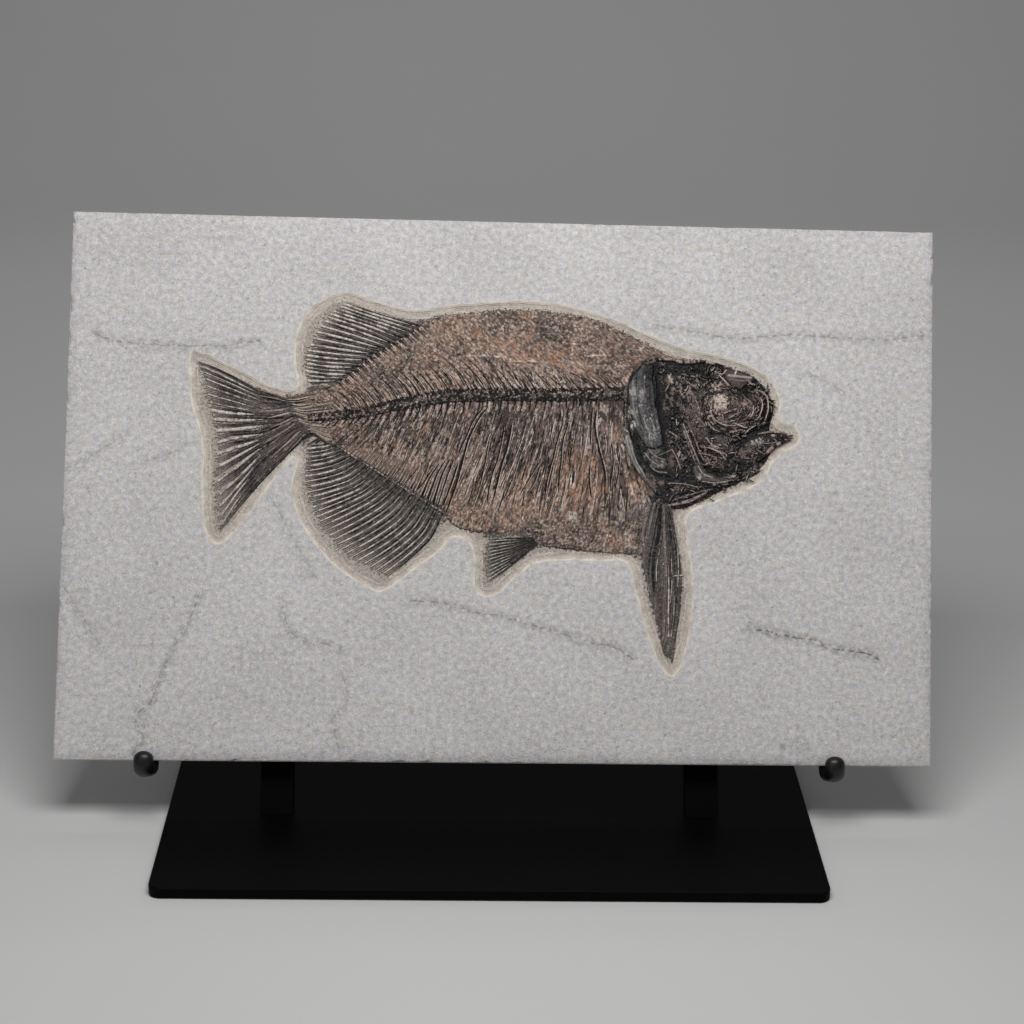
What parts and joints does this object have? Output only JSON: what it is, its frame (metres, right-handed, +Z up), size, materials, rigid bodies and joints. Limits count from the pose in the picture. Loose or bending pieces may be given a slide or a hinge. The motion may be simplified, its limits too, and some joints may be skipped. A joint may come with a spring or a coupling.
{
  "type": "fossil fish slab on a display stand",
  "caption": "Sawn limestone slab with a fossil fish in a shallow prepared hollow, leaning back in a black steel stand with a flat base plate, uprights and hooked prongs.",
  "frame": {"origin": "middle of the object's footprint at the level it stands on", "axes": "+X to the right along the slab, +Y from the front to the back, +Z up"},
  "size_m": [0.665, 0.3064, 0.4333],
  "materials": {
    "limestone": "honed, finely speckled",
    "flank_bone": "rust-brown scaly bone film, satin",
    "dark_bone": "dark fossil bone, satin",
    "grey_bone": "smooth blue-grey fossil bone",
    "pale_bone": "pale grey fossil bone",
    "fin_bone": "dark fin rays with cream stone between",
    "black_steel": "black, half gloss"
  },
  "bodies": {
    "root": {"slab": "limestone", "flank": "flank_bone", "backbone": "dark_bone", "skull": "dark_bone", "lower_jaw": "dark_bone", "throat_rays": "dark_bone", "gill_cover": "grey_bone", "shoulder_bone": "pale_bone", "tail_fin": "fin_bone", "dorsal_fin": "fin_bone", "anal_fin": "fin_bone", "pelvic_fin": "fin_bone", "pectoral_fin": "fin_bone", "base_plate": "black_steel", "post_left": "black_steel", "post_right": "black_steel", "cross_bar": "black_steel", "prong_left": "black_steel", "prong_right": "black_steel"}
  },
  "joints": []
}
